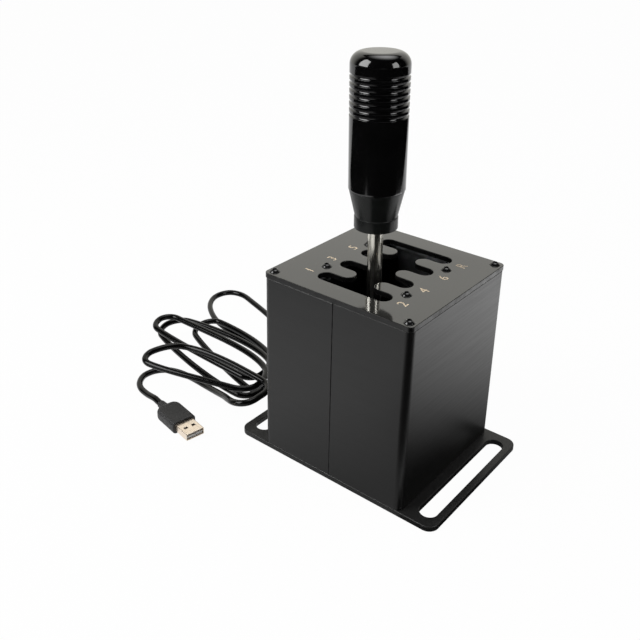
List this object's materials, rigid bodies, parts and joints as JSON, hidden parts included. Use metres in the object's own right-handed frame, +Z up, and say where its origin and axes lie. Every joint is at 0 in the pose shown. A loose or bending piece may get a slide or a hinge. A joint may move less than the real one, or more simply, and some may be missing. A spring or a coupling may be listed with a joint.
{
  "type": "sim racing gear shifter",
  "caption": "Box-shaped desk gear shifter: gate plate with slots and a neutral channel, tilting and sliding lever with a grooved knob, slotted base plate and a loosely coiled USB cord.",
  "frame": {"origin": "on the floor, under the middle of the base plate", "axes": "+Z up, +Y away from the driver towards the cord outlet, +X to the driver's right along the cross shaft"},
  "size_m": [0.1563, 0.269, 0.2304],
  "materials": {
    "base_black": "black powder coat",
    "screw_black": "black oxide",
    "shell_black": "satin black anodised",
    "plate_black": "glossy black anodised with etched numbers",
    "frame_steel": "zinc plated",
    "ground_steel": "ground",
    "spring_steel": "plated",
    "brass": "turned",
    "bronze": "sintered",
    "board_green": "solder mask",
    "chip_black": "moulded",
    "connector_white": "moulded",
    "cord_black": "glossy vinyl",
    "gland_black": "moulded",
    "plug_grey": "satin moulded vinyl",
    "plug_steel": "nickel plated",
    "carriage_black": "machined acetal",
    "hub_aluminium": "machined",
    "rod_chrome": "polished",
    "collar_dark": "satin dark anodised",
    "knob_black": "glossy black anodised"
  },
  "bodies": {
    "housing": {"base_plate": "base_black", "base_screws": "screw_black", "front_shell": "shell_black", "rear_shell": "shell_black", "gate_plate": "plate_black", "plate_corner_screws": "screw_black", "frame_screws": "screw_black", "mechanism_frame": "frame_steel", "select_shaft": "ground_steel", "shaft_clips": "spring_steel", "guide_rod": "ground_steel", "guide_clips": "spring_steel", "board_spacers": "brass", "control_board": "board_green", "board_screws": "spring_steel", "hall_sensors": "chip_black", "control_chip": "chip_black", "board_connector": "connector_white", "inner_lead": "cord_black", "cord_gland": "gland_black", "cord_lead": "cord_black", "cord_pile": "cord_black", "cord_tail": "cord_black", "plug_body": "plug_grey", "plug_shell": "plug_steel", "plug_insert": "connector_white"},
    "select_carriage": {"carriage": "carriage_black", "carriage_bushes": "bronze", "select_magnet": "ground_steel"},
    "lever": {"lever_hub": "hub_aluminium", "lever_rod": "rod_chrome", "rod_nut": "spring_steel", "detent_plunger": "ground_steel", "knob_collar": "collar_dark", "knob_body": "knob_black"}
  },
  "joints": [
    {"name": "select_slide", "type": "slide", "parent": "housing", "child": "select_carriage", "axis": [1, 0, 0], "range_m": [-0.0194, 0.0388]},
    {"name": "shift_tilt", "type": "hinge", "parent": "select_carriage", "child": "lever", "pos_m": [-0.0097, 0, 0.06], "axis": [1, 0, 0], "range_deg": [-17.8, 20.1]}
  ]
}
